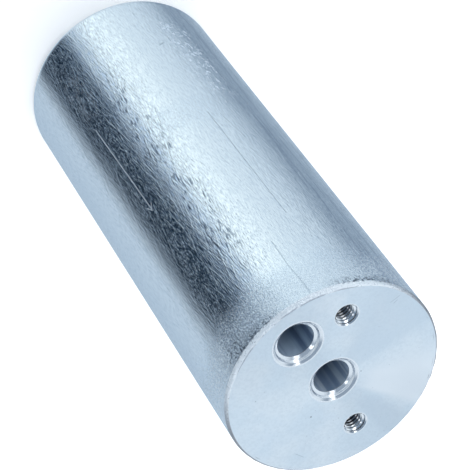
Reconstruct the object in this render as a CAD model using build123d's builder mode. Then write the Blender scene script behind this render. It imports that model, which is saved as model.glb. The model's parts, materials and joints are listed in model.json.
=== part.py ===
from build123d import *
import os

# Receiver filter drier for a vehicle air conditioner.
# A drawn aluminium can, closed at the bottom, holds a bed of desiccant between two felt pads
# and two perforated plates. A spring under the head presses the stack onto a shoulder in the
# can. Refrigerant enters by the offset port, sinks through the bed, and leaves from the sump
# by the strainer, the pickup tube and the central port.
# Frame: origin at the centre of the closed bottom, +Z up to the head, +X towards the inlet
# port. All sizes are in millimetres.

os.makedirs("parts", exist_ok=True)

# ---- Driving dimensions ----

# Can
body_diameter = 60.0
body_length = 152.8  # closed bottom to connection face
can_wall = 2.4
bottom_wall = 4.0
bottom_corner_radius = 2.8
floor_corner_radius = 4.0
sump_height = 26.0  # inner floor to shoulder
shoulder_width = 1.4  # step in the bore that carries the lower plate

# Weld between can and head
weld_leg = 1.2
weld_crown = 0.12  # how far the bead stands out of its straight slope

# Head
head_thickness = 22.0
flange_thickness = 8.0
spigot_chamfer = 1.0
boss_diameter = 17.6  # centres the spring
boss_height = 4.0
socket_depth = 10.0  # how far the pickup tube enters the head

# Ports: bore, and a mouth of three cones that guides a sealing nose
port_bore_diameter = 10.1
port_mouth_diameter = 13.7
port_throat_diameter = 12.5
port_seat_diameter = 11.7
port_mouth_depth = 0.5
port_throat_depth = 1.15
port_seat_depth = 1.6
inlet_offset = 18.4

# Tapped holes for the two clamp screws of the pipe block
thread_diameter = 6.0
thread_mouth_diameter = 6.6
thread_depth = 12.0
drill_diameter = 5.0
drill_depth = 15.0
drill_point_height = 1.5
screw_1_x = 15.1
screw_1_y = -13.9
screw_2_x = -18.0
screw_2_y = 4.1

# Pickup tube
tube_diameter = 12.0
tube_wall = 1.5
tube_chamfer = 0.3

# Strainer on the foot of the tube
collar_wall = 1.8
collar_height = 9.0
lip_height = 1.5  # ledge under the tube end
cage_height = 8.0  # window height, foot to collar
foot_thickness = 1.5
foot_diameter = 19.0
rib_count = 6
rib_width = 2.0
mesh_diameter = 15.0
mesh_wall = 0.4

# Perforated plates
plate_thickness = 1.2
plate_skirt_height = 6.0
plate_corner_radius = 2.0
plate_collar_height = 2.2
hole_diameter = 4.0
hole_rings = [(15.5, 8), (21.5, 12)]  # ring radius and hole count

# Filter pads and desiccant
pad_thickness = 6.0
bed_height = 46.0

# Spring
wire_diameter = 2.2
coil_count = 4.25

# Clearances
mouth_clearance = 0.05  # head flange in the can's mouth
spigot_clearance = 0.1
tube_press_clearance = 0.02
plate_clearance = 0.2  # plate skirt in the bore
pad_clearance = 0.3  # felt and beads against metal
tube_clearance = 0.25  # plates, pads and bed around the tube
coil_clearance = 0.4  # spring around the head's boss

# ---- Levels and radii that follow ----

body_radius = body_diameter / 2
rim_level = body_length - weld_leg
face_radius = body_radius - weld_leg
flange_level = body_length - flange_thickness
head_level = body_length - head_thickness
boss_level = head_level - boss_height
socket_level = boss_level + socket_depth

bore_radius = body_radius - can_wall
mouth_radius = face_radius + mouth_clearance
sump_radius = bore_radius - shoulder_width
shoulder_level = bottom_wall + sump_height

tube_radius = tube_diameter / 2
tube_bore_radius = tube_radius - tube_wall
tube_hole_radius = tube_radius + tube_clearance
cage_level = bottom_wall + foot_thickness
collar_level = cage_level + cage_height
tube_foot_level = collar_level + lip_height

lower_plate_level = shoulder_level + plate_skirt_height
lower_pad_level = lower_plate_level
bed_level = lower_pad_level + pad_thickness
upper_pad_level = bed_level + bed_height
upper_plate_level = upper_pad_level + pad_thickness
spring_level = upper_plate_level + plate_thickness
plate_radius = bore_radius - plate_clearance
soft_radius = bore_radius - pad_clearance

# ---- Can: one drawn cup with a shoulder in its bore and a widened mouth ----

with BuildPart() as can:
    with BuildSketch(Plane.XZ):
        with BuildLine():
            Polyline(
                (0, 0),
                (body_radius, 0),
                (body_radius, rim_level),
                (mouth_radius, rim_level),
                (mouth_radius, flange_level),
                (bore_radius, flange_level),
                (bore_radius, shoulder_level),
                (sump_radius, shoulder_level),
                (sump_radius, bottom_wall),
                (0, bottom_wall),
                close=True,
            )
        make_face()
    revolve(axis=Axis.Z)
    outer_corner = can.edges().filter_by(GeomType.CIRCLE).group_by(Axis.Z)[0]
    fillet(outer_corner, bottom_corner_radius)
    floor_edges = can.edges().filter_by(GeomType.CIRCLE)
    floor_corner = floor_edges.filter_by_position(Axis.Z, bottom_wall - 0.01, bottom_wall + 0.01)
    fillet(floor_corner, floor_corner_radius)

can.part.label = "can"
export_step(can.part, "parts/can.step")

# ---- Cutters shared by the head's holes, each standing on its own mouth centre ----

with BuildPart() as port_cutter:
    with BuildSketch(Plane.XZ):
        with BuildLine():
            Polyline(
                (0, 0),
                (port_mouth_diameter / 2, 0),
                (port_throat_diameter / 2, -port_mouth_depth),
                (port_seat_diameter / 2, -port_throat_depth),
                (port_bore_diameter / 2, -port_seat_depth),
                (port_bore_diameter / 2, boss_level - body_length),
                (0, boss_level - body_length),
                close=True,
            )
        make_face()
    revolve(axis=Axis.Z)

thread_mouth_depth = (thread_mouth_diameter - thread_diameter) / 2

with BuildPart() as screw_cutter:
    with BuildSketch(Plane.XZ):
        with BuildLine():
            Polyline(
                (0, 0),
                (thread_mouth_diameter / 2, 0),
                (thread_diameter / 2, -thread_mouth_depth),
                (thread_diameter / 2, -thread_depth),
                (drill_diameter / 2, -thread_depth),
                (drill_diameter / 2, -drill_depth),
                (0, -drill_depth - drill_point_height),
                close=True,
            )
        make_face()
    revolve(axis=Axis.Z)

# ---- Head: turned plug with a flange, a spigot, two ports and two tapped holes ----

with BuildPart() as head:
    with BuildSketch(Plane.XZ):
        with BuildLine():
            Polyline(
                (0, body_length),
                (face_radius, body_length),
                (face_radius, flange_level),
                (bore_radius - spigot_clearance, flange_level),
                (bore_radius - spigot_clearance, head_level + spigot_chamfer),
                (bore_radius - spigot_clearance - spigot_chamfer, head_level),
                (boss_diameter / 2, head_level),
                (boss_diameter / 2, boss_level),
                (0, boss_level),
                close=True,
            )
        make_face()
    revolve(axis=Axis.Z)
    with Locations((0, 0, body_length), (inlet_offset, 0, body_length)):
        add(port_cutter.part, mode=Mode.SUBTRACT)
    with Locations((screw_1_x, screw_1_y, body_length), (screw_2_x, screw_2_y, body_length)):
        add(screw_cutter.part, mode=Mode.SUBTRACT)
    with BuildSketch(Plane.XY.offset(boss_level)):
        Circle(tube_radius + tube_press_clearance)
    extrude(amount=socket_depth, mode=Mode.SUBTRACT)

head.part.label = "head"
export_step(head.part, "parts/head.step")

# ---- Weld bead: crowned fillet between the can's rim and the head's edge ----

with BuildPart() as weld_bead:
    with BuildSketch(Plane.XZ):
        with BuildLine():
            crown_radius = body_radius - weld_leg / 2 + weld_crown
            crown_level = body_length - weld_leg / 2 + weld_crown
            ThreePointArc(
                (face_radius, body_length),
                (crown_radius, crown_level),
                (body_radius, rim_level),
            )
            Line((body_radius, rim_level), (face_radius, rim_level))
            Line((face_radius, rim_level), (face_radius, body_length))
        make_face()
    revolve(axis=Axis.Z)

weld_bead.part.label = "weld_bead"
export_step(weld_bead.part, "parts/weld_bead.step")

# ---- Pickup tube: from the head's socket down to the strainer ----

with BuildPart() as pickup_tube:
    with BuildSketch(Plane.XY.offset(tube_foot_level)):
        Circle(tube_radius)
        Circle(tube_bore_radius, mode=Mode.SUBTRACT)
    extrude(amount=socket_level - tube_foot_level)
    end_edges = pickup_tube.edges().filter_by(GeomType.CIRCLE)
    outer_end_edges = end_edges.filter_by(lambda edge: edge.radius > tube_radius - tube_wall / 2)
    chamfer(outer_end_edges, tube_chamfer)

pickup_tube.part.label = "pickup_tube"
export_step(pickup_tube.part, "parts/pickup_tube.step")

# ---- Strainer: moulded collar, cage and foot, with a mesh sleeve inside the ribs ----

collar_radius = tube_radius + tube_press_clearance + collar_wall
rib_inner_radius = mesh_diameter / 2
rib_outer_radius = foot_diameter / 2

with BuildPart() as strainer_body:
    # Foot that stands on the can's floor
    with BuildSketch(Plane.XY.offset(bottom_wall)):
        Circle(rib_outer_radius)
    extrude(amount=foot_thickness)
    # Collar over the tube, with a ledge below the tube's end
    with BuildSketch(Plane.XY.offset(collar_level)):
        Circle(rib_outer_radius)
        Circle(tube_bore_radius, mode=Mode.SUBTRACT)
    extrude(amount=lip_height)
    with BuildSketch(Plane.XY.offset(tube_foot_level)):
        Circle(collar_radius)
        Circle(tube_radius + tube_press_clearance, mode=Mode.SUBTRACT)
    extrude(amount=collar_height)
    # Ribs around the mesh
    with BuildSketch(Plane.XY.offset(cage_level)):
        with PolarLocations((rib_inner_radius + rib_outer_radius) / 2, rib_count):
            Rectangle(rib_outer_radius - rib_inner_radius, rib_width)
    extrude(amount=cage_height)

strainer_body.part.label = "strainer_body"
export_step(strainer_body.part, "parts/strainer_body.step")

with BuildPart() as strainer_mesh:
    with BuildSketch(Plane.XY.offset(cage_level)):
        Circle(rib_inner_radius)
        Circle(rib_inner_radius - mesh_wall, mode=Mode.SUBTRACT)
    extrude(amount=cage_height)

strainer_mesh.part.label = "strainer_mesh"
export_step(strainer_mesh.part, "parts/strainer_mesh.step")

# ---- Perforated plates: one pressing used twice, skirt down below the bed and skirt up above ----


def perforated_plate(bearing_level, skirt_direction):
    """Return a skirted plate; its bed side lies at bearing_level and its skirt points away."""
    bed_side = Plane(origin=(0, 0, bearing_level), x_dir=(1, 0, 0), z_dir=(0, 0, skirt_direction))
    profile_plane = Plane(origin=bed_side.origin, x_dir=(1, 0, 0), z_dir=(0, -skirt_direction, 0))
    corner = plate_corner_radius
    inner_corner = plate_corner_radius - plate_thickness
    skirt_inside = plate_radius - plate_thickness
    collar_outside = tube_hole_radius + plate_thickness
    with BuildPart() as plate:
        with BuildSketch(profile_plane):
            with BuildLine():
                Line((tube_hole_radius, 0), (plate_radius - corner, 0))
                RadiusArc((plate_radius - corner, 0), (plate_radius, corner), -corner)
                Line((plate_radius, corner), (plate_radius, plate_skirt_height))
                Line((plate_radius, plate_skirt_height), (skirt_inside, plate_skirt_height))
                Line((skirt_inside, plate_skirt_height), (skirt_inside, corner))
                RadiusArc(
                    (skirt_inside, corner),
                    (skirt_inside - inner_corner, plate_thickness),
                    inner_corner,
                )
                Line((skirt_inside - inner_corner, plate_thickness), (collar_outside, plate_thickness))
                Line((collar_outside, plate_thickness), (collar_outside, plate_collar_height))
                Line((collar_outside, plate_collar_height), (tube_hole_radius, plate_collar_height))
                Line((tube_hole_radius, plate_collar_height), (tube_hole_radius, 0))
            make_face()
        revolve(axis=Axis.Z)
        for ring_radius, hole_count in hole_rings:
            with BuildSketch(bed_side):
                with PolarLocations(ring_radius, hole_count):
                    Circle(hole_diameter / 2)
            extrude(amount=plate_thickness, mode=Mode.SUBTRACT)
    return plate


lower_plate = perforated_plate(lower_plate_level, -1)
lower_plate.part.label = "lower_plate"
export_step(lower_plate.part, "parts/lower_plate.step")

upper_plate = perforated_plate(upper_plate_level, 1)
upper_plate.part.label = "upper_plate"
export_step(upper_plate.part, "parts/upper_plate.step")

# ---- Filter pads and desiccant bed: rings around the tube, stacked face to face ----


def stack_ring(bottom_level, ring_height):
    """Return one soft layer that fills the bore around the pickup tube."""
    with BuildPart() as layer:
        with BuildSketch(Plane.XY.offset(bottom_level)):
            Circle(soft_radius)
            Circle(tube_hole_radius, mode=Mode.SUBTRACT)
        extrude(amount=ring_height)
    return layer


lower_filter_pad = stack_ring(lower_pad_level, pad_thickness)
lower_filter_pad.part.label = "lower_filter_pad"
export_step(lower_filter_pad.part, "parts/lower_filter_pad.step")

desiccant_bed = stack_ring(bed_level, bed_height)
desiccant_bed.part.label = "desiccant_bed"
export_step(desiccant_bed.part, "parts/desiccant_bed.step")

upper_filter_pad = stack_ring(upper_pad_level, pad_thickness)
upper_filter_pad.part.label = "upper_filter_pad"
export_step(upper_filter_pad.part, "parts/upper_filter_pad.step")

# ---- Compression spring: round wire around the head's boss, with plain open ends ----

coil_radius = boss_diameter / 2 + coil_clearance + wire_diameter / 2
winding_height = head_level - spring_level - wire_diameter
coil_pitch = winding_height / coil_count

with BuildPart() as compression_spring:
    with BuildLine(Plane.XY.offset(spring_level + wire_diameter / 2)):
        coil = Helix(coil_pitch, winding_height, coil_radius)
    with BuildSketch(Plane(origin=coil @ 0, z_dir=coil % 0)):
        Circle(wire_diameter / 2)
    sweep(path=coil, is_frenet=True)

compression_spring.part.label = "compression_spring"
export_step(compression_spring.part, "parts/compression_spring.step")
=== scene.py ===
import json
import math
import random

import bmesh
import bpy
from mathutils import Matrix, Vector


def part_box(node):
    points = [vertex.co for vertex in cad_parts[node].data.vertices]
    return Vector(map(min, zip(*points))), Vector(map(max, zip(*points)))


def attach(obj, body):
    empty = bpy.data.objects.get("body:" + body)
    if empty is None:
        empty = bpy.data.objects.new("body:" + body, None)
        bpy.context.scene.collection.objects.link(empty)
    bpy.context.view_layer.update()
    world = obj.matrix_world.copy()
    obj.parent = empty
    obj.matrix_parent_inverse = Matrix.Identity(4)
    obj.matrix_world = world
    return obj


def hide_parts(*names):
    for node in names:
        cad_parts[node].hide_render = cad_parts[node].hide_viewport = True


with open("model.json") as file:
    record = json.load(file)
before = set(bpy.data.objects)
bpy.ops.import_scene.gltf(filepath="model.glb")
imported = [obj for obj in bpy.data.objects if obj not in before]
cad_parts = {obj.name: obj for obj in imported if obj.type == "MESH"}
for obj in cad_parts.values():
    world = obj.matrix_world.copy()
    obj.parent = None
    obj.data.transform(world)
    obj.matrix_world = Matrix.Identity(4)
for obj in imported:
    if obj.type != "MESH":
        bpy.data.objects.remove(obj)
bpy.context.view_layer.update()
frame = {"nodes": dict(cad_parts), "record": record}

MM = 0.001

# ---- Body and sizes read from the frame, in metres ----

BODY = "root"
can_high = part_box("can")[1]
head_low, head_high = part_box("head")
BODY_RADIUS = can_high.x
RIM_LEVEL = can_high.z
FACE_LEVEL = head_high.z
FACE_RADIUS = head_high.x
BOSS_LEVEL = head_low.z
MOUNTS = {mount["name"]: mount for mount in frame["record"]["mounts"]}

# ---- Sizes that the frame doesn't state, in metres ----

CAN_WALL = 2.4 * MM
CAN_FLOOR = 4.0 * MM
CAN_CORNER = 2.8 * MM
SHOULDER_LEVEL = 30.0 * MM
SUMP_RADIUS = 26.2 * MM
SUMP_CORNER = 4 * MM
RECESS_CLEARANCE = 0.05 * MM
FLANGE_THICKNESS = 8.0 * MM
HEAD_THICKNESS = 22.0 * MM
SPIGOT_CLEARANCE = 0.1 * MM
SPIGOT_CHAMFER = 1 * MM
FACE_MARGIN = 0.5 * MM
BOSS_RADIUS = 8.8 * MM
SOCKET_RADIUS = 6.02 * MM
SOCKET_DEPTH = 10.0 * MM
PORT_MOUTH = [(6.85, 0.0), (6.25, 0.5), (5.85, 1.15), (5.05, 1.6)]  # radius and depth, mm
PORT_MARGIN = 0.3 * MM
SCREW_MOUTH_RADIUS = 3.3 * MM
SCREW_MARGIN = 0.2 * MM
SCREW_RADIUS = 3.0 * MM
DRILL_RADIUS = 2.5 * MM
DRILL_DEPTH = 15.0 * MM
DRILL_POINT = 1.5 * MM
THREAD_DEPTH = 12.0 * MM
THREAD_START = 0.25 * MM
THREAD_RUN_OUT = 0.6 * MM
THREAD_PITCH = 1.0 * MM
THREAD_CREST_RADIUS = 2.46 * MM
THREAD_FADE_TURNS = 0.4

# How far edges are rounded
STEP_EDGE = 0.2 * MM
EDGE = 0.1 * MM
FACE_EDGE = 0.08 * MM
SHARP_EDGE = 0.05 * MM

# Sides of what is turned, and steps in one turn of a thread
ROUND = 360
PORT_ROUND = 96
SCREW_ROUND = 72
THREAD_ROUND = 48

# ---- Camera: the photograph's place, aim, roll and lens ----

CAMERA_PLACE = Vector((0.38731, -0.04467, 0.51211))
CAMERA_AIM = Vector((-0.00011, -0.00097, 0.08631))
CAMERA_ROLL = math.radians(144.41)
CAMERA_LENS = 158.1
SENSOR_WIDTH = 36.0
CLIP_START = 0.01
FRONT_AZIMUTH = math.radians(-6.4)


def add_object(name, data):
    made = bpy.data.objects.new(name, data)
    bpy.context.scene.collection.objects.link(made)
    return made


def add_camera():
    data = bpy.data.cameras.new("camera")
    data.lens = CAMERA_LENS
    data.sensor_width = SENSOR_WIDTH
    data.sensor_fit = "HORIZONTAL"
    data.clip_start = CLIP_START
    camera = add_object("camera", data)
    forward = (CAMERA_AIM - CAMERA_PLACE).normalized()
    level_right = forward.cross(Vector((0, 0, 1))).normalized()
    level_up = level_right.cross(forward)
    right = math.cos(CAMERA_ROLL) * level_right + math.sin(CAMERA_ROLL) * level_up
    up = right.cross(forward)
    turn = camera.matrix_world.to_3x3()
    for row in range(3):
        turn[row][0] = right[row]
        turn[row][1] = up[row]
        turn[row][2] = -forward[row]
    camera.matrix_world = turn.to_4x4()
    camera.location = CAMERA_PLACE
    bpy.context.scene.camera = camera


# ---- Helpers for lengths and nodes ----


def mm(*lengths):
    """Lengths in millimetres, turned into metres."""
    return [length * MM for length in lengths]


def below(level, *depths):
    """Levels or radii that are so many millimetres less than another."""
    return [level - depth * MM for depth in depths]


class Nodes:
    """A material's or world's node tree, with short calls that add and link nodes."""

    def __init__(self, owner):
        owner.use_nodes = True
        self.tree = owner.node_tree
        self.tree.nodes.clear()

    def add(self, kind, inputs=None, **settings):
        node = self.tree.nodes.new(kind)
        for key, value in settings.items():
            setattr(node, key, value)
        for key, value in (inputs or {}).items():
            self.put(node, key, value)
        return node

    def put(self, node, key, value):
        socket = node.inputs[key]
        if isinstance(value, bpy.types.NodeSocket):
            self.tree.links.new(value, socket)
        else:
            socket.default_value = value

    def math(self, operation, a, b=0.0, c=0.0, clamp=False):
        node = self.add("ShaderNodeMath", {0: a, 1: b, 2: c}, operation=operation, use_clamp=clamp)
        return node.outputs[0]

    def product(self, first, *others):
        for other in others:
            first = self.math("MULTIPLY", first, other)
        return first

    def most(self, first, *others):
        """The largest of several values."""
        for other in others:
            first = self.math("MAXIMUM", first, other)
        return first

    def less(self, value, share):
        """1 where value is 0, smaller by share where it is 1."""
        return self.math("MULTIPLY_ADD", value, -share, 1.0)

    def weighted(self, *parts):
        """The sum of values, each times its weight, from (value, weight) pairs."""
        total = 0.0
        for value, weight in parts:
            total = self.math("MULTIPLY_ADD", value, weight, total)
        return total

    def remap(self, value, low, high, to_low=0.0, to_high=1.0):
        node = self.add(
            "ShaderNodeMapRange",
            {"Value": value, "From Min": low, "From Max": high, "To Min": to_low, "To Max": to_high},
            interpolation_type="SMOOTHSTEP",
        )
        return node.outputs["Result"]

    def window(self, value, rise_start, rise_end, fall_start, fall_end):
        """0, rising smoothly to 1, then falling smoothly to 0 again."""
        rise = self.remap(value, rise_start, rise_end)
        fall = self.remap(value, fall_start, fall_end, 1.0, 0.0)
        return self.math("MULTIPLY", rise, fall)

    def patch(self, first, first_range, second, second_range):
        """1 where both values are within the windows given for them."""
        return self.product(self.window(first, *first_range), self.window(second, *second_range))

    def mix(self, factor, a, b):
        node = self.add("ShaderNodeMix", data_type="RGBA")
        self.put(node, 0, factor)
        self.put(node, 6, a)
        self.put(node, 7, b)
        return node.outputs[2]

    def noise(self, vector, scale, detail=2.0, roughness=0.5):
        node = self.add(
            "ShaderNodeTexNoise",
            {"Vector": vector, "Scale": scale, "Detail": detail, "Roughness": roughness},
        )
        return node.outputs["Fac"]

    def stretched(self, vector, scale, twist=0.0):
        """vector scaled per axis, after a twist about Z of so many radians a metre."""
        if twist:
            turn = self.math("MULTIPLY", self.level(vector), twist)
            vector = self.add(
                "ShaderNodeVectorRotate", {"Vector": vector, "Angle": turn}, rotation_type="Z_AXIS"
            ).outputs[0]
        return self.add("ShaderNodeMapping", {"Vector": vector, "Scale": scale}).outputs[0]

    def lengthwise(self, vector, share, scale, detail=1, twist=0.0):
        """Noise drawn out along Z, where its detail is a share of what it is across."""
        return self.noise(self.stretched(vector, (1, 1, share), twist), scale, detail)

    def strokes(self, vector, low, high, length, *fields):
        """Short lengthwise scratches, a sum over fields of (twist in radians a metre, scale)."""
        total = 0.0
        for twist, scale in fields:
            field = self.lengthwise(vector, 1 / length, scale, 0, twist)
            total = self.math("ADD", self.remap(field, low, high), total)
        return total

    def bump(self, height, strength=1.0, distance=MM):
        """A normal from a height, which is in millimetres unless distance says otherwise."""
        inputs = {"Height": height, "Strength": strength, "Distance": distance}
        return self.add("ShaderNodeBump", inputs).outputs[0]

    def object_point(self):
        return self.add("ShaderNodeTexCoord").outputs["Object"]

    def level(self, vector):
        return self.add("ShaderNodeSeparateXYZ", {0: vector}).outputs["Z"]

    def flat(self, point):
        """A point's place on the floor below it."""
        return self.stretched(point, (1, 1, 0))

    def measure(self, operation, a, b=None):
        """One number from vectors, such as a length, a distance or a dot product."""
        vectors = {0: a} if b is None else {0: a, 1: b}
        return self.add("ShaderNodeVectorMath", vectors, operation=operation).outputs["Value"]

    def bearing(self, vector):
        """Degrees about Z of a point or direction, 0 toward FRONT_AZIMUTH, from -180 to 180."""
        xyz = self.add("ShaderNodeSeparateXYZ", {0: vector})
        x, y = xyz.outputs["X"], xyz.outputs["Y"]
        toward = self.math("ADD", self.math("MULTIPLY", x, math.cos(FRONT_AZIMUTH)),
                           self.math("MULTIPLY", y, math.sin(FRONT_AZIMUTH)))
        across = self.math("SUBTRACT", self.math("MULTIPLY", y, math.cos(FRONT_AZIMUTH)),
                           self.math("MULTIPLY", x, math.sin(FRONT_AZIMUTH)))
        return self.math("MULTIPLY", self.math("ARCTAN2", across, toward), math.degrees(1))

    def surface(self, inputs):
        shader = self.add("ShaderNodeBsdfPrincipled", inputs)
        self.add("ShaderNodeOutputMaterial", {"Surface": shader.outputs[0]})


# ---- World: white for the camera, pale surroundings and one dark flag for metal to mirror ----

WHITE = (1, 1, 1, 1)
PANEL = (0.57, 0.67, 0.77, 1)
NADIR = (0.74, 0.83, 0.90, 1)
TOP = (0.82, 0.90, 0.97, 1)
ROOM = (0.20, 0.27, 0.36, 1)
SOFTBOX = (2.0, 2.05, 2.1, 1)

# Upright panels, each over the last: its colour, and the bearings between which it rises and falls
PANELS = [
    ((0.68, 0.79, 0.88, 1), (-95, -62, -10, 30)),  # fill
    ((1.0, 1.12, 1.15, 1), (-46, -12, 4, 24)),  # key
    ((0.23, 0.30, 0.39, 1), (-156, -112, -110, -82)),  # a dim stretch at the side
    ((0.50, 0.66, 0.88, 1), (0, 14, 40, 60)),  # half-shade beside the flag
    ((0.012, 0.024, 0.042, 1), (3, 38, 64, 98)),  # flag
]

# The bearings of the dim room in front, and the levels between which it begins
ROOM_BEARINGS = (-115, -85, 85, 115)
ROOM_LEVELS = (0.28, 0.42)

# Softboxes: the bearings and levels between which each rises and falls
SOFTBOXES = [
    ((-64, -57, -42, -35), (0.05, 0.12, 0.72, 0.78)),
    ((-90, -80, -55, -45), (0.72, 0.78, 0.93, 0.97)),
    ((56, 62, 78, 86), (0.84, 0.88, 0.93, 0.96)),
]


def build_world():
    world = bpy.data.worlds.new("studio")
    bpy.context.scene.world = world
    nodes = Nodes(world)
    direction = nodes.add("ShaderNodeTexCoord").outputs["Generated"]
    level = nodes.level(direction)
    bearing = nodes.bearing(direction)
    # Below the horizon: what the upright walls mirror
    colour = PANEL
    for panel, bearings in PANELS:
        colour = nodes.mix(nodes.window(bearing, *bearings), colour, panel)
    colour = nodes.mix(nodes.remap(level, -0.86, -0.95), colour, NADIR)
    # Above it: a bright far side, a dim room in front and the softboxes
    colour = nodes.mix(nodes.remap(level, 0.0, 0.3), colour, TOP)
    front = nodes.product(nodes.window(bearing, *ROOM_BEARINGS), nodes.remap(level, *ROOM_LEVELS))
    colour = nodes.mix(front, colour, ROOM)
    for bearings, levels in SOFTBOXES:
        colour = nodes.mix(nodes.patch(bearing, bearings, level, levels), colour, SOFTBOX)
    camera_ray = nodes.add("ShaderNodeLightPath").outputs["Is Camera Ray"]
    shown = nodes.mix(camera_ray, colour, WHITE)
    background = nodes.add("ShaderNodeBackground", {"Color": shown, "Strength": 1.0})
    nodes.add("ShaderNodeOutputWorld", {"Surface": background.outputs[0]})


# ---- Floor and lamp ----

FLOOR_REACH = 3
FLOOR_PAINT = (0.9, 0.9, 0.9, 1)
FLOOR_LIFT = 0.40  # light that the floor adds for the camera only
LAMP_PLACE = (-0.5, 0.4, 1.4)
LAMP_AIM = (0, 0, 0.08)
LAMP_SIZE = 1.2
LAMP_POWER = 10


def add_floor():
    data = bpy.data.meshes.new("floor")
    corners = [(-FLOOR_REACH, -FLOOR_REACH, 0), (FLOOR_REACH, -FLOOR_REACH, 0),
               (FLOOR_REACH, FLOOR_REACH, 0), (-FLOOR_REACH, FLOOR_REACH, 0)]
    data.from_pydata(corners, [], [(0, 1, 2, 3)])
    floor = add_object("floor", data)
    material = bpy.data.materials.new("floor_white")
    nodes = Nodes(material)
    paint = nodes.add("ShaderNodeBsdfDiffuse", {"Color": FLOOR_PAINT})
    camera_ray = nodes.add("ShaderNodeLightPath").outputs["Is Camera Ray"]
    lift = nodes.add("ShaderNodeEmission",
                     {"Color": WHITE, "Strength": nodes.math("MULTIPLY", camera_ray, FLOOR_LIFT)})
    both = nodes.add("ShaderNodeAddShader", {0: paint.outputs[0], 1: lift.outputs[0]})
    nodes.add("ShaderNodeOutputMaterial", {"Surface": both.outputs[0]})
    data.materials.append(material)
    floor.visible_glossy = False


def add_lamp():
    data = bpy.data.lights.new("soft_top", "AREA")
    data.energy = LAMP_POWER
    data.size = LAMP_SIZE
    lamp = add_object("soft_top", data)
    lamp.location = LAMP_PLACE
    lamp.rotation_euler = (Vector(LAMP_AIM) - Vector(LAMP_PLACE)).to_track_quat("-Z", "Y").to_euler()
    lamp.visible_glossy = False


# ---- Mesh helpers ----

# Beyond both ends of a fillet the outline has one more point, at this share of its radius, so that
# the flats beside it shade flat
FLAT_GUARD = 0.3


def rounded(corners, steps=4):
    """Points of an open (radius, level) outline with each corner rounded by its third value."""
    points = []
    for index, (r, z, fillet) in enumerate(corners):
        here = Vector((r, z))
        if fillet == 0 or index in (0, len(corners) - 1):
            points.append((r, z))
            continue
        before = (Vector(corners[index - 1][:2]) - here).normalized()
        after = (Vector(corners[index + 1][:2]) - here).normalized()
        half = before.angle(after) / 2
        reach = fillet / math.tan(half)
        start = here + before * reach
        end = here + after * reach
        centre = here + (before + after).normalized() * (fillet / math.sin(half))
        points.append(tuple(start + before * fillet * FLAT_GUARD))
        first = start - centre
        last = end - centre
        sweep = first.angle(last)
        for step in range(steps + 1):
            share = step / steps
            arm = first * math.sin((1 - share) * sweep) + last * math.sin(share * sweep)
            points.append(tuple(centre + arm / math.sin(sweep)))
        points.append(tuple(end + after * fillet * FLAT_GUARD))
    return points


def ring(mesh, centre, radius, level, count):
    """A loop of vertices; radius 0 gives a single one."""
    if radius == 0:
        return [mesh.verts.new((centre[0], centre[1], level))]
    made = []
    for index in range(count):
        angle = 2 * math.pi * index / count
        made.append(mesh.verts.new((centre[0] + radius * math.cos(angle),
                                    centre[1] + radius * math.sin(angle), level)))
    return made


def skin(mesh, lower, upper):
    """Faces between two loops of the same count, or between a loop and a single vertex."""
    if len(lower) == 1 or len(upper) == 1:
        tip, loop = (lower[0], upper) if len(lower) == 1 else (upper[0], lower)
        for index in range(len(loop)):
            mesh.faces.new((tip, loop[index], loop[(index + 1) % len(loop)]))
        return
    count = len(lower)
    for index in range(count):
        after = (index + 1) % count
        mesh.faces.new((lower[index], lower[after], upper[after], upper[index]))


def lathe(mesh, centre, outline, count, first=None):
    """Turn an outline of (radius, level) points; first is a loop that already stands at its start."""
    previous = first
    for radius, level in outline if first is None else outline[1:]:
        current = ring(mesh, centre, radius, level, count)
        if previous is not None:
            skin(mesh, previous, current)
        previous = current
    return previous


def close_flat(mesh, loops):
    """Fill the flat region between an outer loop and the loops of its holes."""
    edges = []
    for loop in loops:
        for index in range(len(loop)):
            pair = (loop[index], loop[(index + 1) % len(loop)])
            edges.append(mesh.edges.get(pair) or mesh.edges.new(pair))
    bmesh.ops.triangle_fill(mesh, use_beauty=True, edges=edges)


def finish_piece(name, mesh, materials, replaced=(), sharp_degrees=40):
    bmesh.ops.recalc_face_normals(mesh, faces=mesh.faces)
    data = bpy.data.meshes.new(name)
    mesh.to_mesh(data)
    mesh.free()
    data.polygons.foreach_set("use_smooth", [True] * len(data.polygons))
    data.set_sharp_from_angle(angle=math.radians(sharp_degrees))
    for material in materials:
        data.materials.append(material)
    piece = add_object(name, data)
    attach(piece, BODY)
    if replaced:
        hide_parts(*replaced)


# ---- The drawn can ----

DRAWN = (0.91, 0.96, 0.99, 1)
STROKE = (0.78, 0.85, 0.91, 1)
MOTTLED = (0.85, 0.94, 1.0, 1)
# painted shade for the wall's dark reflected band
PAINTED_BAND_SHADE = (0.40, 0.48, 0.57, 1)
FLECK = (0.22, 0.30, 0.40, 1)
DASH = (0.16, 0.21, 0.28, 1)
STREAK = (0.42, 0.50, 0.60, 1)
SCORE = (0.36, 0.42, 0.48, 1)
PALE = (0.77, 0.89, 1.0, 1)
SOOT = (0.12, 0.15, 0.19, 1)
DRAWN_TINT = (0.78, 0.83, 0.88, 1)

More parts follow.
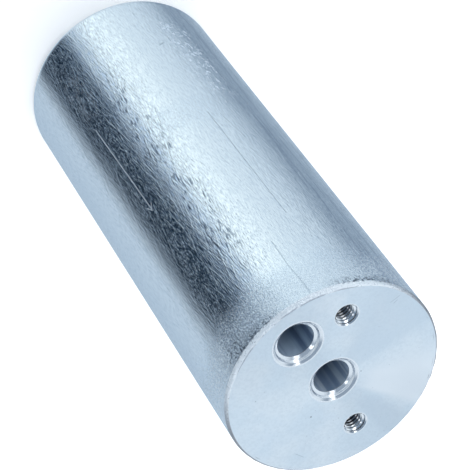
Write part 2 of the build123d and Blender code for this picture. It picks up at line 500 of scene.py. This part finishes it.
# Where marks lie: the bearings in degrees, or levels in mm, between which each rises and falls
SMOOTH_BEARINGS = (31, 41, 100, 130)
RUBBED_BEARINGS = (-50, -40, -8, 4)
RUBBED_LEVELS = mm(56, 61, 68, 73)
# Where the highlight falls, kept clear of dark flecks: painted highlight
LIT_BEARINGS = (-50, -36, -8, 8)
BLOTCH_BEARINGS = (3, 8, 12, 18)
BLOTCH_LEVELS = mm(48, 62, 98, 116)
LOW_BLOTCH_BEARINGS = (12, 20, 27, 34)
LOW_BLOTCH_LEVELS = mm(16, 22, 34, 44)
FROST_BEARINGS = (-57, -51, -42, -36)
FROST_LEVELS = mm(13, 20, 50, 62)
DASH_BEARINGS = (-6, 0, 9, 15)
DASH_LEVELS = mm(20, 50, 120, 140)
STREAK_BEARINGS = (-80, -68, -56, -46)
# A stripe of painted shade where the wall mirrors the dark flag, stronger low down
PAINTED_BAND_SHADE_BEARINGS = (8, 14, 32, 41)
PAINTED_BAND_SHADE_LEVELS = mm(20, 90)

# The weld's heat leaves the wall matt below the rim, to a ragged line
HEAT_LEVELS = below(RIM_LEVEL, 13, 5)
MATT_LEVELS = below(RIM_LEVEL, 22, 6)
RAGGED_REACH = 8 * MM

# Single scratches on the can: bearing and level (mm) at each end, half width in degrees
SCORES = [
    (-14.9, 128, -14.4, 139, 0.25),
    (-14.4, 138.6, -15.2, 146, 0.3),
    (-15.2, 145.6, -15.2, 151, 0.4),
    (-29.5, 67, -30.5, 119, 0.2),
    (-33.6, 27.7, -31.5, 28.6, 0.8),
]

# Bright rubs in the same form
RUBS = [
    (27.7, 45, 27.0, 66, 0.26),
    (27.0, 64, 26.2, 88, 0.22),
    (28.2, 86.0, 26.2, 88.5, 0.22),
    (24.4, 86.0, 26.4, 88.0, 0.22),
]


def score_lines(nodes, bearing, level, marks):
    """1 along the can's single scratches, 0 off them."""
    total = 0.0
    for first, low, last, high, half_width in marks:
        slope = (last - first) / ((high - low) * MM)
        run = nodes.math("MULTIPLY_ADD", level, slope, first - slope * low * MM)
        gap = nodes.math("ABSOLUTE", nodes.math("SUBTRACT", bearing, run))
        across = nodes.remap(gap, 0.0, 2 * half_width, 1.0, 0.0)
        ends = nodes.window(level, *mm(low - 0.4, low + 0.2, high - 0.2, high + 0.4))
        total = nodes.most(nodes.product(across, ends), total)
    return total


def blotches(nodes, point, bearing, level):
    """Two cloudy blotches on the near side, one along its middle and one low down."""
    blotch = nodes.most(nodes.patch(bearing, BLOTCH_BEARINGS, level, BLOTCH_LEVELS),
                        nodes.patch(bearing, LOW_BLOTCH_BEARINGS, level, LOW_BLOTCH_LEVELS))
    return nodes.product(blotch, nodes.remap(nodes.noise(point, 420, 3, 0.6), 0.38, 0.62))


def frosting(nodes, point, bearing, level):
    """Frosted flecks low on one shoulder of the near side."""
    flecks = nodes.noise(nodes.stretched(point, (1, 1, 0.6)), 1150, 2, 0.6)
    return nodes.product(nodes.patch(bearing, FROST_BEARINGS, level, FROST_LEVELS),
                         nodes.remap(flecks, 0.52, 0.60),
                         nodes.remap(nodes.noise(point, 330, 1), 0.42, 0.52))


def dark_dashes(nodes, point, bearing, level):
    """Short dashes in clumps, along the middle of the near side."""
    dashes = nodes.strokes(point, 0.61, 0.66, 9, (-1.0, 2500), (-4.0, 2900))
    clumps = nodes.remap(nodes.lengthwise(point, 0.5, 345), 0.45, 0.55)
    return nodes.product(dashes, clumps, nodes.window(bearing, *DASH_BEARINGS),
                         nodes.window(level, *DASH_LEVELS))


def long_streaks(nodes, point, bearing):
    """Long streaks, duller than the wall, at one shoulder of the near side."""
    streaks = nodes.remap(nodes.lengthwise(point, 0.03, 1300), 0.50, 0.62)
    return nodes.product(streaks, nodes.window(bearing, *STREAK_BEARINGS))


def drawn_aluminium():
    """The can: lengthwise draw streaks, slanting scratches and mottling, matt near the weld."""
    material = bpy.data.materials.new("drawn_aluminium")
    nodes = Nodes(material)
    point = nodes.object_point()
    level = nodes.level(point)
    bearing = nodes.bearing(point)
    heat = nodes.remap(level, *HEAT_LEVELS)
    ragged = nodes.math("MULTIPLY_ADD", nodes.noise(point, 110, 3, 0.6), 2 * RAGGED_REACH, -RAGGED_REACH)
    matt = nodes.remap(nodes.math("ADD", level, ragged), *MATT_LEVELS)
    smooth = nodes.window(bearing, *SMOOTH_BEARINGS)
    worn = nodes.product(nodes.less(smooth, 0.65), nodes.less(matt, 0.85))

    broad = nodes.lengthwise(point, 0.06, 520, 2)
    cloud = nodes.lengthwise(point, 0.4, 170)
    grain = nodes.noise(point, 3800, 1)
    strokes = nodes.strokes(point, 0.50, 0.67, 8, (6.5, 3200), (-3.0, 3700), (1.5, 4300))
    gouges = nodes.strokes(point, 0.64, 0.72, 14, (-5.5, 1250), (5.0, 1400))
    worn_strokes = nodes.product(strokes, worn)
    scores = score_lines(nodes, bearing, level, SCORES)
    rubs = score_lines(nodes, bearing, level, RUBS)
    rubbed = nodes.patch(bearing, RUBBED_BEARINGS, level, RUBBED_LEVELS)
    mottle = nodes.most(matt, nodes.product(rubbed, 0.4))
    height = nodes.weighted((worn_strokes, 0.016), (nodes.product(gouges, worn), 0.022), (broad, 0.03),
                            (cloud, 0.08), (nodes.product(grain, mottle), 0.15), (scores, -0.03))

    # Dark flecks and painted glints, which both gather where the wall is mottled; the flecks thin out where
    # the highlight falls and where the wall is smooth, a painted highlight
    lit = nodes.most(nodes.window(bearing, *LIT_BEARINGS), smooth)
    fleck = nodes.product(nodes.remap(nodes.lengthwise(point, 0.45, 2900), 0.48, 0.55),
                          nodes.math("MULTIPLY_ADD", mottle, 0.46, 0.10), nodes.less(lit, 0.7))
    glint = nodes.product(nodes.remap(nodes.lengthwise(point, 0.4, 3600, 1, 4.0), 0.50, 0.64),
                          nodes.math("MULTIPLY_ADD", mottle, 0.38, 0.02))
    pale = nodes.most(nodes.product(rubs, 0.66),
                      nodes.product(frosting(nodes, point, bearing, level), 0.95),
                      nodes.product(blotches(nodes, point, bearing, level), 0.15),
                      nodes.math("MULTIPLY_ADD", mottle, 0.12, glint))
    # Painted shade along the dark reflected band, stronger low down
    band_shade = nodes.product(nodes.window(bearing, *PAINTED_BAND_SHADE_BEARINGS), nodes.remap(level, *PAINTED_BAND_SHADE_LEVELS, 0.6, 0.3))

    colour = nodes.mix(nodes.product(strokes, 0.4), DRAWN, STROKE)
    for amount, over in (
        (nodes.product(mottle, 0.5), MOTTLED),
        (band_shade, PAINTED_BAND_SHADE),
        (fleck, FLECK),
        (nodes.product(dark_dashes(nodes, point, bearing, level), 0.65), DASH),
        (nodes.product(long_streaks(nodes, point, bearing), 0.42), STREAK),
        (nodes.product(scores, 0.6), SCORE),
        (pale, PALE),
        (soot(nodes, point), SOOT),
    ):
        colour = nodes.mix(amount, colour, over)
    roughness = nodes.weighted((broad, 0.08), (heat, 0.12), (cloud, 0.04), (worn_strokes, 0.05))
    nodes.surface({
        "Base Color": colour,
        "Metallic": nodes.math("SUBTRACT", nodes.less(heat, 0.15), pale, clamp=True),
        "Roughness": nodes.math("ADD", roughness, 0.06),
        "Normal": nodes.bump(height),
        "Specular Tint": DRAWN_TINT,
    })
    return material


# ---- The turned face of the head ----

TURNED = (0.72, 0.81, 0.89, 1)
TURNED_LIGHT = (0.80, 0.87, 0.93, 1)
TURNED_GRAIN = (0.50, 0.58, 0.66, 1)
# Painted highlight and painted shade for the fans across the face
FACE_PAINTED_HIGHLIGHT = (0.86, 0.91, 0.96, 1)
FACE_PAINTED_SHADE = (0.62, 0.71, 0.80, 1)
RIM_SEAM = (0.33, 0.33, 0.36, 1)
SPECK = (0.45, 0.50, 0.56, 1)
SCRATCH = (0.34, 0.40, 0.47, 1)
PIT = (0.20, 0.22, 0.25, 1)

# A lighter fan of painted highlight, with a duller fan of painted shade on either side
FACE_PAINTED_HIGHLIGHT_BEARINGS = (-156, -147, -128, -104)
FACE_PAINTED_HIGHLIGHT_DISTANCES = mm(4, 14)
FACE_PAINTED_SHADE_BEARINGS = (-179, -171, -162, -154)
FACE_PAINTED_SHADE_DISTANCES = mm(8, 16)
WIDE_FACE_PAINTED_SHADE_BEARINGS = (-104, -88, -62, -40)

SWIRL_DISTANCES = mm(6.8, 7.2, 7.6, 10)
SEAM_DISTANCES = below(BODY_RADIUS, 0.75, 0.5)

# Small pits in the face: place and radius in mm
PITS = [(-5.16, 11.05, 0.32), (-3.97, -6.57, 0.22), (12.5, 18.0, 0.16), (-17.0, 3.5, 0.16)]

# Light scratches on the face: both ends in mm
SCRATCHES = [(8.5, -24.0, 8.3, -27.4), (7.5, -24.4, 7.7, -26.2), (-12.0, 21.0, -15.5, 20.0)]


def port_swirls(nodes, flat):
    """Faint rings around the mouths of both ports."""
    total = 0.0
    for name in ("outlet_port", "inlet_port"):
        x, y = MOUNTS[name]["pos_m"][:2]
        away = nodes.measure("DISTANCE", flat, (x, y, 0))
        swirl = nodes.noise(nodes.add("ShaderNodeCombineXYZ", {"X": away}).outputs[0], 1300, 1)
        total = nodes.math("MULTIPLY_ADD", swirl, nodes.window(away, *SWIRL_DISTANCES), total)
    return total


def scratch_line(nodes, flat, x, y, end_x, end_y):
    """How strongly one light scratch of the face shows."""
    length = math.hypot(end_x - x, end_y - y)
    toward = ((end_x - x) / length, (end_y - y) / length, 0)
    start = (x * MM, y * MM, 0)
    offset = nodes.add("ShaderNodeVectorMath", {0: flat, 1: start}, operation="SUBTRACT").outputs[0]
    along = nodes.measure("DOT_PRODUCT", offset, toward)
    across = nodes.measure("DOT_PRODUCT", offset, (-toward[1], toward[0], 0))
    line = nodes.remap(nodes.math("ABSOLUTE", across), *mm(0.02, 0.16), 0.5, 0.0)
    return nodes.product(line, nodes.window(along, *mm(-0.2, 0.4, length - 0.6, length)))


def turned_aluminium():
    """The head: fine rings left by the facing tool, which spread reflections across them, and fans of
    painted highlight and painted shade.
    """
    material = bpy.data.materials.new("turned_aluminium")
    nodes = Nodes(material)
    point = nodes.object_point()
    flat = nodes.flat(point)
    bearing = nodes.bearing(point)
    distance = nodes.measure("LENGTH", flat)
    rings = nodes.add("ShaderNodeCombineXYZ", {"X": distance})
    marks = nodes.noise(rings.outputs[0], 1600, 3, 0.7)
    grain = nodes.noise(point, 1200, 3, 0.6)
    cloud = nodes.noise(point, 90, 3, 0.5)
    height = nodes.weighted((marks, 0.006), (grain, 0.005), (port_swirls(nodes, flat), 0.014))

    # Fans by bearing about the axis: painted highlight, and painted shade beside it
    painted_highlight_fan = nodes.product(nodes.window(bearing, *FACE_PAINTED_HIGHLIGHT_BEARINGS), nodes.remap(distance, *FACE_PAINTED_HIGHLIGHT_DISTANCES))
    painted_shade_fans = nodes.product(nodes.window(bearing, *FACE_PAINTED_SHADE_BEARINGS),
                           nodes.remap(distance, *FACE_PAINTED_SHADE_DISTANCES))
    painted_shade_fans = nodes.most(painted_shade_fans, nodes.window(bearing, *WIDE_FACE_PAINTED_SHADE_BEARINGS))
    specks = nodes.remap(nodes.noise(point, 1500, 1), 0.75, 0.79)
    layers = [
        (nodes.remap(grain, 0.40, 0.65, 0.0, 0.16), TURNED_GRAIN),
        (painted_highlight_fan, FACE_PAINTED_HIGHLIGHT),
        (nodes.product(painted_shade_fans, 0.5), FACE_PAINTED_SHADE),
        (nodes.remap(distance, *SEAM_DISTANCES, 0.0, 0.7), RIM_SEAM),
        (nodes.product(specks, 0.5), SPECK),
    ]
    layers += [(scratch_line(nodes, flat, *ends), SCRATCH) for ends in SCRATCHES]
    for x, y, radius in PITS:
        gap = nodes.measure("DISTANCE", flat, (x * MM, y * MM, 0))
        layers.append((nodes.remap(gap, *mm(radius * 0.5, radius), 0.8, 0.0), PIT))
    colour = nodes.mix(nodes.remap(cloud, 0.35, 0.65), TURNED, TURNED_LIGHT)
    for amount, over in layers:
        colour = nodes.mix(amount, colour, over)
    nodes.surface({
        "Base Color": colour,
        "Metallic": 1.0,
        "Roughness": nodes.remap(cloud, 0.3, 0.7, 0.36, 0.44),
        "Anisotropic": 0.75,
        "Anisotropic Rotation": 0.25,
        "Normal": nodes.bump(height),
        "Tangent": nodes.add("ShaderNodeTangent", direction_type="RADIAL", axis="Z").outputs[0],
    })
    return material


# ---- The ports and the tapped holes ----

MOUTH = (0.80, 0.84, 0.88, 1)
# Down the bores: bluish painted shade, with painted highlight streaks along the tool lines; darker further
# in
BORE_SHADE = (0.25, 0.34, 0.48, 1)
BORE_HIGHLIGHT = (0.78, 0.90, 1.0, 1)
LIGHTER_BORE_SHADE = (0.34, 0.44, 0.58, 1)
LIGHTER_BORE_HIGHLIGHT = (0.88, 0.95, 1.0, 1)
INNER_BORE_SHADE = (0.10, 0.14, 0.21, 1)
CREST_DARK = (0.80, 0.83, 0.86, 1)
CREST_LIGHT = (0.90, 0.93, 0.96, 1)
# painted shade deep in the tapped holes
INNER_THREAD_SHADE = (0.26, 0.27, 0.29, 1)

# The central port's wall lies within these distances of the axis, the offset one's beyond them
CENTRAL_PORT_DISTANCES = mm(7, 8)


def cut_aluminium():
    """The ports' walls: bright where a tool turned the mouths; down the bores, bluish painted shade with
    streaks of painted highlight along the tool lines.
    """
    material = bpy.data.materials.new("cut_aluminium")
    nodes = Nodes(material)
    point = nodes.object_point()
    level = nodes.level(point)
    deep = nodes.remap(level, *below(FACE_LEVEL, 2.0, 1.6), 1.0, 0.0)
    lines = nodes.noise(nodes.stretched(point, (1, 1, 0.03)), 240, 3, 0.6)
    turned = nodes.noise(nodes.stretched(point, (0.05, 0.05, 1)), 4500, 2)
    wall = nodes.mix(nodes.remap(lines, 0.36, 0.64), BORE_SHADE, BORE_HIGHLIGHT)
    # The central port's wall is painted a little lighter than the offset one's, and both darken inward with
    # painted shade
    lighter_bore = nodes.remap(nodes.measure("LENGTH", nodes.flat(point)), *CENTRAL_PORT_DISTANCES, 1.0, 0.0)
    lighter_bore_wall = nodes.mix(nodes.remap(lines, 0.40, 0.60), LIGHTER_BORE_SHADE, LIGHTER_BORE_HIGHLIGHT)
    wall = nodes.mix(lighter_bore, wall, lighter_bore_wall)
    wall = nodes.mix(nodes.remap(level, *below(FACE_LEVEL, 5, 14), 0.0, 0.5), wall, INNER_BORE_SHADE)
    nodes.surface({
        "Base Color": nodes.mix(deep, MOUTH, wall),
        "Metallic": nodes.remap(deep, 0, 1, 0.75, 0.5),
        "Roughness": nodes.math("ADD", nodes.weighted((deep, 0.38), (lines, 0.08)), 0.06),
        "Normal": nodes.bump(nodes.weighted((lines, 0.02), (turned, 0.03))),
    })
    return material


def tapped_aluminium():
    """The tapped holes: bright crests with fine tool lines along the thread, darker further down as painted
    shade.
    """
    material = bpy.data.materials.new("tapped_aluminium")
    nodes = Nodes(material)
    point = nodes.object_point()
    lines = nodes.noise(nodes.stretched(point, (0.1, 0.1, 1)), 5000, 2)
    # Painted shade: the thread darkens from 0.8 mm to 4 mm below the face
    deep = nodes.remap(nodes.level(point), *below(FACE_LEVEL, 0.8, 4))
    nodes.surface({
        "Base Color": nodes.mix(deep, nodes.mix(lines, CREST_DARK, CREST_LIGHT), INNER_THREAD_SHADE),
        "Metallic": 1.0,
        "Roughness": nodes.remap(lines, 0.3, 0.7, 0.12, 0.2),
        "Normal": nodes.bump(nodes.product(lines, 0.008)),
    })
    return material


# ---- The weld ----

BEAD = (0.82, 0.90, 0.97, 1)
BEAD_LIGHT = (0.95, 0.98, 1.0, 1)
BEAD_SEAM = (0.25, 0.29, 0.36, 1)
# painted shade for the bead's far side
FAR_BEAD_SHADE = (0.36, 0.37, 0.40, 1)

# The bead is painted pale around these bearings, a painted highlight, and darker on the far side, painted
# shade
LIT_BEAD_BEARINGS = (-88, -50, 45, 80)

# Just outside the face a broken dark seam follows the bead's inner toe
BEAD_SEAM_DISTANCES = below(FACE_RADIUS, 0, -0.1, -0.25, -0.45)

# Bearings of three smudges, the first two on the near side, and the levels that they reach
SMUDGES = [(0, 12, 26, 40), (-76, -52, -38, -20), (120, 140, 150, 175)]
SMUDGE_LEVELS = below(RIM_LEVEL, 3.2, 0.3, -0.05, -0.35)
SPATTER_BEARINGS = (22, 29, 35, 44)
SPATTER_LEVELS = below(RIM_LEVEL, 7, 4, 1, 0)


def soot(nodes, point):
    """Where the weld's toe is dirty: smudges by bearing, broken up by fine noise."""
    level = nodes.level(point)
    bearing = nodes.bearing(point)
    smudges = nodes.most(*[nodes.window(bearing, *bearings) for bearings in SMUDGES])
    clumps = nodes.remap(nodes.noise(point, 1500, 3, 0.7), 0.46, 0.57)
    dirt = nodes.product(smudges, nodes.window(level, *SMUDGE_LEVELS), clumps)
    # Fine specks spattered a little way down the wall
    spatter = nodes.product(nodes.patch(bearing, SPATTER_BEARINGS, level, SPATTER_LEVELS),
                            nodes.remap(nodes.noise(point, 1500, 1), 0.55, 0.62))
    return nodes.most(dirt, nodes.product(spatter, 0.8))


def weld_aluminium():
    """The bead: rippled metal, satin and painted pale on the near side (painted highlight), darker on the
    far side (painted shade), dirty at its outer toe.
    """
    material = bpy.data.materials.new("weld_aluminium")
    nodes = Nodes(material)
    point = nodes.object_point()
    ripple = nodes.noise(point, 1700, 3, 0.6)
    # Painted highlight on the near side, where the bead is also less metallic; painted shade on the far
    # side
    near = nodes.window(nodes.bearing(point), *LIT_BEAD_BEARINGS)
    seam = nodes.window(nodes.measure("LENGTH", nodes.flat(point)), *BEAD_SEAM_DISTANCES)
    seam = nodes.product(seam, nodes.remap(nodes.noise(point, 250, 2), 0.40, 0.55, 0.15, 0.7))
    colour = nodes.mix(seam, nodes.mix(ripple, BEAD, BEAD_LIGHT), BEAD_SEAM)
    colour = nodes.mix(near, FAR_BEAD_SHADE, colour)
    nodes.surface({
        "Base Color": nodes.mix(soot(nodes, point), colour, SOOT),
        "Metallic": nodes.remap(near, 0, 1, 0.9, 0.35),
        "Roughness": nodes.remap(ripple, 0.3, 0.7, 0.25, 0.4),
        "Normal": nodes.bump(nodes.product(ripple, 0.24)),
    })
    return material


# ---- The pieces inside ----

# Each finish: two colours, its pattern's scale, roughness, how metallic it is and how it is stretched
FINISHES = {
    "zinc_steel": ((0.55, 0.56, 0.58), (0.68, 0.69, 0.70), 300, 0.4, 1.0),
    "tube_aluminium": ((0.72, 0.75, 0.78), (0.8, 0.83, 0.86), 900, 0.35, 1.0, (1, 1, 0.05)),
    "spring_wire": ((0.35, 0.35, 0.36), (0.5, 0.5, 0.52), 700, 0.35, 1.0),
    "felt": ((0.78, 0.76, 0.70), (0.9, 0.88, 0.83), 1500, 0.9),
    "sieve_beads": ((0.60, 0.50, 0.38), (0.80, 0.72, 0.60), 450, 0.85),
    "polyamide": ((0.78, 0.77, 0.72), (0.85, 0.84, 0.80), 400, 0.5),
    "woven_wire": ((0.4, 0.4, 0.42), (0.7, 0.7, 0.72), 3000, 0.4, 1.0),
}

INNER_NODES = {
    "pickup_tube": "tube_aluminium",
    "upper_plate": "zinc_steel",
    "lower_plate": "zinc_steel",
    "compression_spring": "spring_wire",
    "upper_filter_pad": "felt",
    "desiccant_bed": "sieve_beads",
    "strainer_body": "polyamide",
    "strainer_mesh": "woven_wire",
    "lower_filter_pad": "felt",
}


def simple_material(name, low, high, scale, roughness, metallic=0.0, stretch=(1, 1, 1)):
    material = bpy.data.materials.new(name)
    nodes = Nodes(material)
    pattern = nodes.noise(nodes.stretched(nodes.object_point(), stretch), scale, 4, 0.6)
    nodes.surface({
        "Base Color": nodes.mix(pattern, (*low, 1), (*high, 1)),
        "Metallic": metallic,
        "Roughness": nodes.remap(pattern, 0.2, 0.8, roughness - 0.08, roughness + 0.08),
        "Normal": nodes.bump(pattern, 0.4, 0.1 * MM),
    })
    return material


def dress_inner_nodes():
    materials = {name: simple_material(name, *finish) for name, finish in FINISHES.items()}
    for name, finish in INNER_NODES.items():
        data = frame["nodes"][name].data
        data.materials.clear()
        data.materials.append(materials[finish])


# ---- The pieces that show ----


def make_can(material):
    mesh = bmesh.new()
    flange = FACE_LEVEL - FLANGE_THICKNESS
    recess = FACE_RADIUS + RECESS_CLEARANCE
    lathe(mesh, (0, 0), rounded([
        (0, 0, 0),
        (BODY_RADIUS, 0, CAN_CORNER),
        (BODY_RADIUS, RIM_LEVEL, STEP_EDGE),
        (recess, RIM_LEVEL, EDGE),
        (recess, flange, EDGE),
        (BODY_RADIUS - CAN_WALL, flange, EDGE),
        (BODY_RADIUS - CAN_WALL, SHOULDER_LEVEL, STEP_EDGE),
        (SUMP_RADIUS, SHOULDER_LEVEL, STEP_EDGE),
        (SUMP_RADIUS, CAN_FLOOR, SUMP_CORNER),
        (0, CAN_FLOOR, 0),
    ], 6), ROUND)
    finish_piece("can_drawn", mesh, [material], ["can"])


def hollow(mesh, centre, outline, count):
    """Turn a hole's outline down from the face; gives its loops there and at the foot."""
    loop = ring(mesh, centre, *outline[0], count)
    return loop, lathe(mesh, centre, outline, count, loop)


def make_head(face_material, cut_material, tapped_material):
    mesh = bmesh.new()
    underside = FACE_LEVEL - HEAD_THICKNESS
    flange = FACE_LEVEL - FLANGE_THICKNESS
    spigot = BODY_RADIUS - CAN_WALL - SPIGOT_CLEARANCE
    outer = lathe(mesh, (0, 0), rounded([
        (spigot - SPIGOT_CHAMFER, underside, 0),
        (spigot, underside + SPIGOT_CHAMFER, STEP_EDGE),
        (spigot, flange, EDGE),
        (FACE_RADIUS, flange, EDGE),
        (FACE_RADIUS, FACE_LEVEL, FACE_EDGE),
        (FACE_RADIUS - FACE_MARGIN, FACE_LEVEL, 0),
    ]), ROUND)
    count_outside = len(mesh.faces)
    mesh.verts.ensure_lookup_table()
    spigot_loop = mesh.verts[:ROUND]
    # Ports: the mouth's cones, then the bore down to the underside or the tube's socket
    mouth = [(r * MM, FACE_LEVEL - d * MM, EDGE) for r, d in PORT_MOUTH]
    bore = PORT_MOUTH[-1][0] * MM
    start = (mouth[0][0] + PORT_MARGIN, FACE_LEVEL, 0)
    socket_end = BOSS_LEVEL + SOCKET_DEPTH
    inlet_outline = rounded([start, *mouth, (bore, underside, 0)])
    outlet_outline = rounded([
        start, *mouth,
        (bore, socket_end, SHARP_EDGE),
        (SOCKET_RADIUS, socket_end, SHARP_EDGE),
        (SOCKET_RADIUS, BOSS_LEVEL, EDGE),
        (BOSS_RADIUS, BOSS_LEVEL, EDGE),
        (BOSS_RADIUS, underside, 0),
    ])
    inlet = MOUNTS["inlet_port"]["pos_m"]
    inlet_mouth, inlet_foot = hollow(mesh, inlet[:2], inlet_outline, PORT_ROUND)
    outlet_mouth, outlet_foot = hollow(mesh, (0, 0), outlet_outline, PORT_ROUND)
    count_ports = len(mesh.faces)
    screw_outline = rounded([
        (SCREW_MOUTH_RADIUS + SCREW_MARGIN, FACE_LEVEL, 0),
        (SCREW_MOUTH_RADIUS, FACE_LEVEL, FACE_EDGE),
        (SCREW_RADIUS, FACE_LEVEL - (SCREW_MOUTH_RADIUS - SCREW_RADIUS), FACE_EDGE),
        (SCREW_RADIUS, FACE_LEVEL - THREAD_DEPTH, SHARP_EDGE),
        (DRILL_RADIUS, FACE_LEVEL - THREAD_DEPTH, SHARP_EDGE),
        (DRILL_RADIUS, FACE_LEVEL - DRILL_DEPTH, EDGE),
        (0, FACE_LEVEL - DRILL_DEPTH - DRILL_POINT, 0),
    ])
    screw_mouths = []
    for name in ("screw_hole_1", "screw_hole_2"):
        centre = MOUNTS[name]["pos_m"][:2]
        screw_mouths.append(hollow(mesh, centre, screw_outline, SCREW_ROUND)[0])
    mesh.faces.ensure_lookup_table()
    for face in mesh.faces[count_outside:count_ports]:
        face.material_index = 1
    for face in mesh.faces[count_ports:]:
        face.material_index = 2
    close_flat(mesh, [outer, inlet_mouth, outlet_mouth, *screw_mouths])
    close_flat(mesh, [spigot_loop, inlet_foot, outlet_foot])
    materials = [face_material, cut_material, tapped_material]
    finish_piece("head_turned", mesh, materials, ["head"])


def make_thread(name, centre, material):
    """The thread ridge of one tapped hole, a helix that fades in at the mouth and out at the foot."""
    mesh = bmesh.new()
    top = FACE_LEVEL - THREAD_START
    turns = int((THREAD_DEPTH - THREAD_RUN_OUT) / THREAD_PITCH)
    buried = SCREW_RADIUS + 0.04 * MM
    previous = None
    for step in range(turns * THREAD_ROUND + 1):
        turn = step / THREAD_ROUND
        angle = 2 * math.pi * turn
        fade = min(1.0, turn / THREAD_FADE_TURNS, (turns - turn) / THREAD_FADE_TURNS + 0.02)
        crest = SCREW_RADIUS - (SCREW_RADIUS - THREAD_CREST_RADIUS) * max(fade, 0.03)
        level = top - 0.45 * MM - turn * THREAD_PITCH
        # The ridge's section: radii, and heights in pitches
        section = [(buried, 0.47), (SCREW_RADIUS, 0.43), (crest, 0.10), (crest, -0.10),
                   (SCREW_RADIUS, -0.43), (buried, -0.47)]
        loop = [mesh.verts.new((centre[0] + r * math.cos(angle), centre[1] + r * math.sin(angle),
                                level + lift * THREAD_PITCH)) for r, lift in section]
        if previous:
            skin(mesh, previous, loop)
        else:
            mesh.faces.new(loop)
        previous = loop
    mesh.faces.new(previous)
    finish_piece(name, mesh, [material], sharp_degrees=35)


# The bead's toes and crown wander with a sum of waves around it
BEAD_WAVES = 14
BEAD_WAVE_COUNTS = (5, 60)
INNER_SWAY = 0.2 * MM
CROWN = 0.12 * MM
CROWN_SWAY = 0.1 * MM

# Away from the front the facing tool has cut a shelf into the bead, in the head's own material
SHELF_START = math.radians(32)
SHELF_RISE = math.radians(20)


def make_bead(material, faced_material):
    """The weld bead: a low crowned band whose toes wander."""
    mesh = bmesh.new()
    rng = random.Random(5)
    waves = [(rng.randint(*BEAD_WAVE_COUNTS), rng.uniform(0, 2 * math.pi)) for _ in range(BEAD_WAVES)]
    middle = (FACE_RADIUS + BODY_RADIUS) / 2
    middle_level = (FACE_LEVEL + RIM_LEVEL) / 2
    foot = RIM_LEVEL - 0.05 * MM
    profiles = []
    for index in range(2 * ROUND):
        angle = 2 * math.pi * index / (2 * ROUND)
        sway = sum(math.sin(n * angle + phase) for n, phase in waves) / len(waves)
        from_front = abs(math.remainder(angle - FRONT_AZIMUTH, 2 * math.pi))
        faced = min(1.0, max(0.0, (from_front - SHELF_START) / SHELF_RISE))
        shelf = FACE_RADIUS + (0.12 + 0.5 * faced) * MM
        inner = FACE_RADIUS - 0.05 * MM + INNER_SWAY * sway
        crown = CROWN + CROWN_SWAY * sway
        section = [
            (inner, FACE_LEVEL - 0.01 * MM),
            (shelf - 0.05 * MM, FACE_LEVEL - 0.005 * MM),
            (shelf, FACE_LEVEL - 0.02 * MM),
            (middle + 0.28 * MM * faced + crown, middle_level + 0.1 * MM + crown),
            (middle + 0.3 * MM + 0.12 * MM * faced + 0.5 * crown, middle_level - 0.2 * MM + 0.5 * crown),
            (BODY_RADIUS - 0.01 * MM, foot + 0.25 * MM),
            (BODY_RADIUS - 0.01 * MM, foot),
            (FACE_RADIUS - 0.2 * MM, foot),
        ]
        profiles.append([mesh.verts.new((r * math.cos(angle), r * math.sin(angle), z)) for r, z in section])
    for index, profile in enumerate(profiles):
        skin(mesh, profile, profiles[(index + 1) % len(profiles)])
    for face in mesh.faces:
        if min(vertex.co.z for vertex in face.verts) > FACE_LEVEL - 0.015 * MM:
            face.material_index = 1
    finish_piece("weld_run", mesh, [material, faced_material], ["weld_bead"], 30)


# ---- Scene ----

build_world()
add_floor()
add_lamp()
add_camera()

tapped = tapped_aluminium()
turned = turned_aluminium()
make_can(drawn_aluminium())
make_head(turned, cut_aluminium(), tapped)
for number in (1, 2):
    make_thread(f"thread_{number}", MOUNTS[f"screw_hole_{number}"]["pos_m"], tapped)
make_bead(weld_aluminium(), turned)
dress_inner_nodes()

bpy.context.scene.view_settings.view_transform = "Standard"
